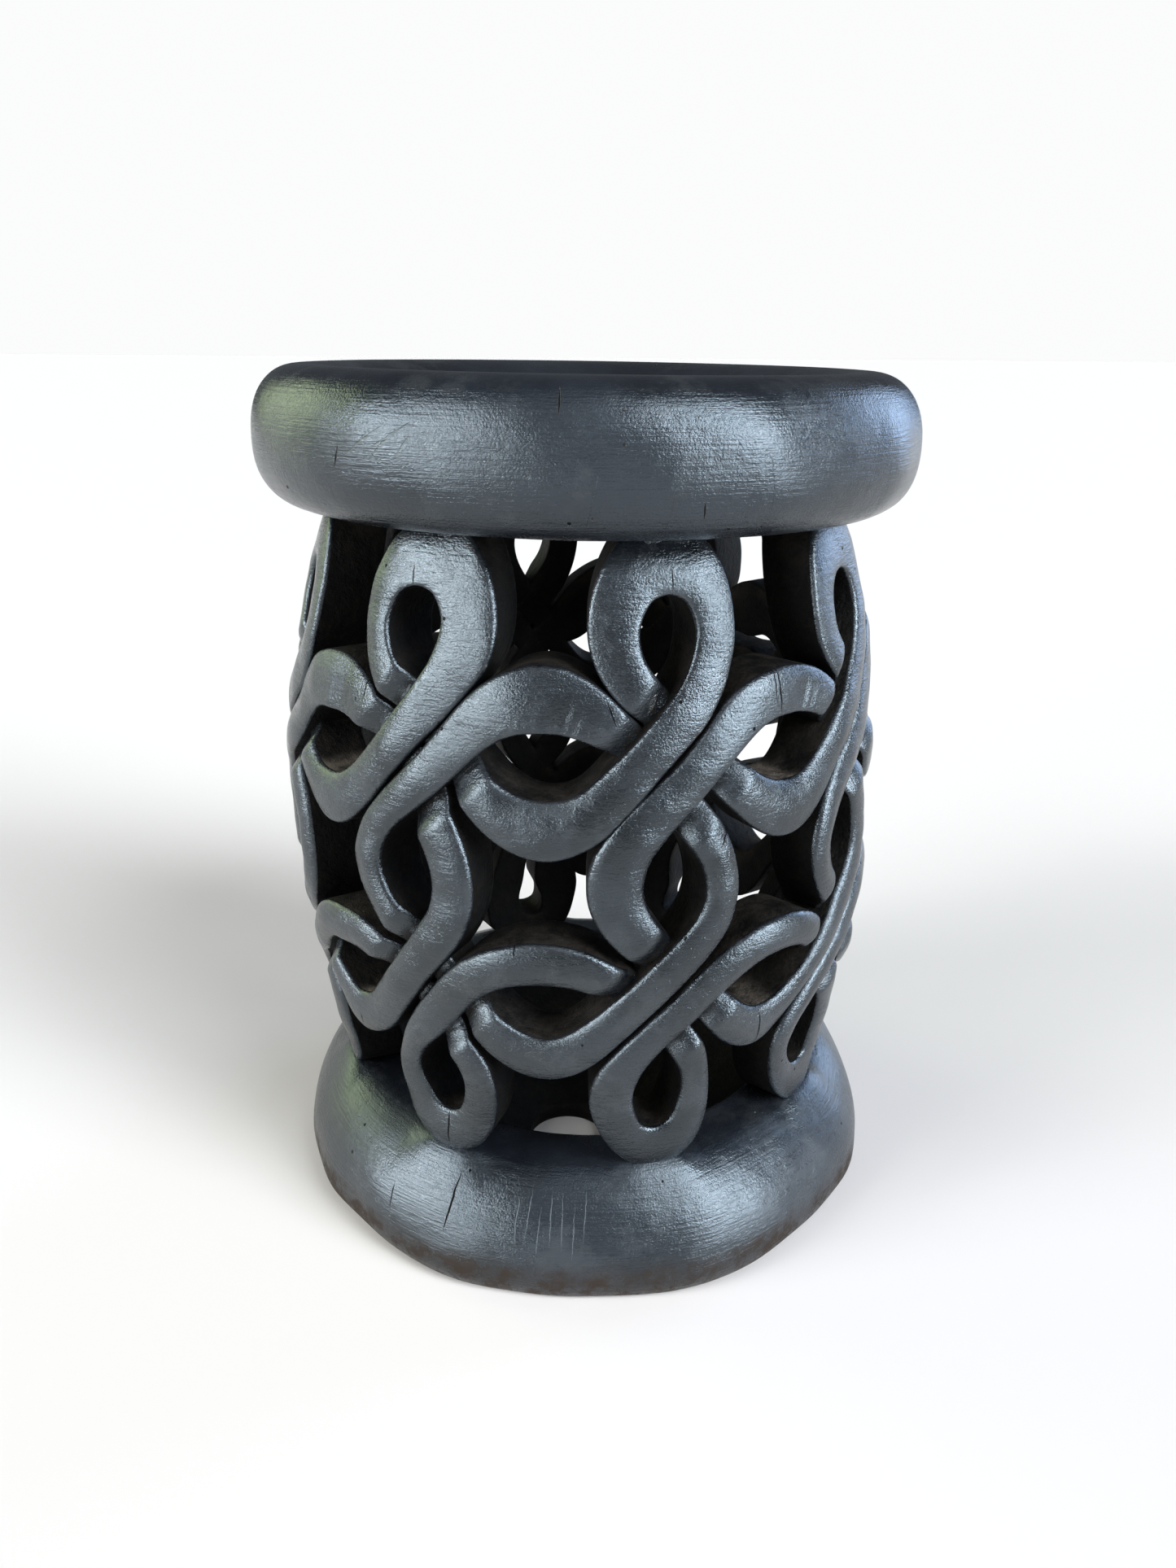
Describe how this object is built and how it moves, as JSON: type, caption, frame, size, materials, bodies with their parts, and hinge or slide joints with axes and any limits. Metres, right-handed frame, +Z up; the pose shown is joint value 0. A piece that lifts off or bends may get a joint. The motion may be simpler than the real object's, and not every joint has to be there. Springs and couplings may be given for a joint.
{
  "type": "carved openwork stool",
  "caption": "Round dark wood stool with a dished seat, an openwork barrel of interlaced carved straps and a fat round base.",
  "frame": {"origin": "on the floor, under the middle of the stool", "axes": "+Z up; the interlace's eyes face -Y, +X, +Y, -X and the four diagonals between them"},
  "size_m": [0.316, 0.316, 0.42],
  "materials": {
    "seat_wood": "dark stained and oiled, satin sheen, fine scratches",
    "strap_wood": "dark stained and oiled, satin face, worn edges, raw brown side walls",
    "base_wood": "dark stained and oiled, satin sheen, brown worn foot"
  },
  "bodies": {
    "root": {"seat": "seat_wood", "base_ring": "base_wood", "upper_loop_1": "strap_wood", "upper_loop_2": "strap_wood", "upper_loop_3": "strap_wood", "upper_loop_4": "strap_wood", "upper_loop_5": "strap_wood", "upper_loop_6": "strap_wood", "upper_loop_7": "strap_wood", "upper_loop_8": "strap_wood", "eye_ring_1": "strap_wood", "eye_ring_2": "strap_wood", "eye_ring_3": "strap_wood", "eye_ring_4": "strap_wood", "eye_ring_5": "strap_wood", "eye_ring_6": "strap_wood", "eye_ring_7": "strap_wood", "eye_ring_8": "strap_wood", "lower_loop_1": "strap_wood", "lower_loop_2": "strap_wood", "lower_loop_3": "strap_wood", "lower_loop_4": "strap_wood", "lower_loop_5": "strap_wood", "lower_loop_6": "strap_wood", "lower_loop_7": "strap_wood", "lower_loop_8": "strap_wood"}
  },
  "joints": []
}
